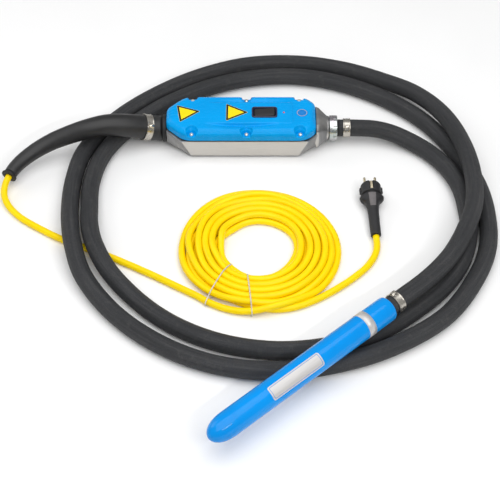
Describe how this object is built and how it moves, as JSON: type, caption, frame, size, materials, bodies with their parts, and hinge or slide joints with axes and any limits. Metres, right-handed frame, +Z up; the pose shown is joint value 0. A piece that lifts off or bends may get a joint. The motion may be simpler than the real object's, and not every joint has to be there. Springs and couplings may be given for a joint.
{
  "type": "concrete vibrator",
  "caption": "High-frequency internal concrete vibrator: poker head on a protective hose, in-line frequency converter with a switch, and a coiled mains lead with a plug.",
  "frame": {"origin": "centre of the flat floor of the converter housing, which the object rests on", "axes": "+Z up, +X along the converter housing from the mains lead towards the poker hose, -Y towards the poker head"},
  "size_m": [0.8874, 0.9349, 0.0797],
  "materials": {
    "cast_aluminium": "bead-blasted die casting, brushed on its sides",
    "blue_plastic": "glossy moulded cover with shallow panel lines",
    "blue_paint": "high-gloss enamel on turned steel",
    "hose_rubber": "matte cloth-wrapped hose, faint spiral marks",
    "sleeve_rubber": "smooth semi-matte moulded rubber",
    "seal_rubber": "matte",
    "cable_yellow": "smooth semi-matte cable sheath",
    "tie_white": "thin twisted cord",
    "stainless": "rolled band, bright",
    "screw_steel": "bright zinc",
    "zinc": "zinc plated, faint yellow passivation",
    "machined_steel": "fine turned",
    "black_plastic": "fine moulded grain",
    "rocker_rubber": "soft cover over the rocker",
    "red_lens": "clear red lens",
    "foil_label": "printed foil label, satin",
    "yellow_label": "printed film label",
    "copper": "enamelled copper wire",
    "board_green": "solder mask",
    "brass": "nickel-bright brass"
  },
  "bodies": {
    "body": {"housing_shell": "cast_aluminium", "cover_gasket": "seal_rubber", "housing_cover": "blue_plastic", "cover_screw_near_1": "screw_steel", "cover_screw_near_2": "screw_steel", "cover_screw_near_3": "screw_steel", "cover_screw_far_1": "screw_steel", "cover_screw_far_2": "screw_steel", "cover_screw_far_3": "screw_steel", "switch_bezel": "black_plastic", "switch_body": "black_plastic", "power_lamp": "red_lens", "emblem_disc": "foil_label", "warning_sign_1": "yellow_label", "warning_sign_2": "yellow_label", "circuit_board": "board_green", "capacitor_1": "black_plastic", "capacitor_2": "black_plastic", "power_module": "black_plastic", "choke_ring": "copper", "terminal_block": "black_plastic", "ring_nut": "zinc", "hose_nipple": "machined_steel", "front_hose_clamp": "stainless", "protective_hose": "hose_rubber", "rear_collar": "seal_rubber", "cable_gland": "brass", "bend_protection_sleeve": "sleeve_rubber", "sleeve_clamp": "stainless", "sleeve_grommet": "seal_rubber", "mains_cable": "cable_yellow", "cable_coil": "cable_yellow", "coil_tie_1": "tie_white", "coil_tie_2": "tie_white", "plug_cable": "cable_yellow", "plug_body": "sleeve_rubber", "plug_pin_1": "brass", "plug_pin_2": "brass", "earth_clip_1": "brass", "earth_clip_2": "brass", "head_tube": "blue_paint", "head_nose": "blue_paint", "rear_closure": "machined_steel", "rear_seal": "seal_rubber", "nose_seal": "seal_rubber", "head_hose_clamp": "stainless", "head_plate": "foil_label", "head_band": "foil_label", "stator_core": "machined_steel", "stator_winding_rear": "copper", "stator_winding_front": "copper", "rear_bearing_outer": "machined_steel", "front_bearing_outer": "machined_steel"},
    "rotor": {"eccentric_shaft": "machined_steel", "rotor_core": "machined_steel", "rear_bearing_inner": "machined_steel", "front_bearing_inner": "machined_steel"},
    "rear_cage": {"rear_roller_cage": "brass"},
    "front_cage": {"front_roller_cage": "brass"},
    "rocker": {"switch_rocker": "rocker_rubber"}
  },
  "joints": [
    {"name": "rotor_spin", "type": "hinge", "parent": "body", "child": "rotor", "pos_m": [0.2295, -0.457, 0.0553], "axis": [-0.7513, -0.66, 0], "continuous": true},
    {"name": "rear_cage_turn", "type": "hinge", "parent": "body", "child": "rear_cage", "pos_m": [0.2295, -0.457, 0.0553], "axis": [-0.7513, -0.66, 0], "continuous": true},
    {"name": "front_cage_turn", "type": "hinge", "parent": "body", "child": "front_cage", "pos_m": [0.2295, -0.457, 0.0553], "axis": [-0.7513, -0.66, 0], "continuous": true},
    {"name": "switch_rock", "type": "hinge", "parent": "body", "child": "rocker", "pos_m": [0.0315, 0, 0.068], "axis": [0, 1, 0], "range_deg": [0, 8]}
  ],
  "couplings": [
    {"joint": "rear_cage_turn", "follows": "rotor_spin", "ratio": 0.381},
    {"joint": "front_cage_turn", "follows": "rotor_spin", "ratio": 0.381}
  ]
}
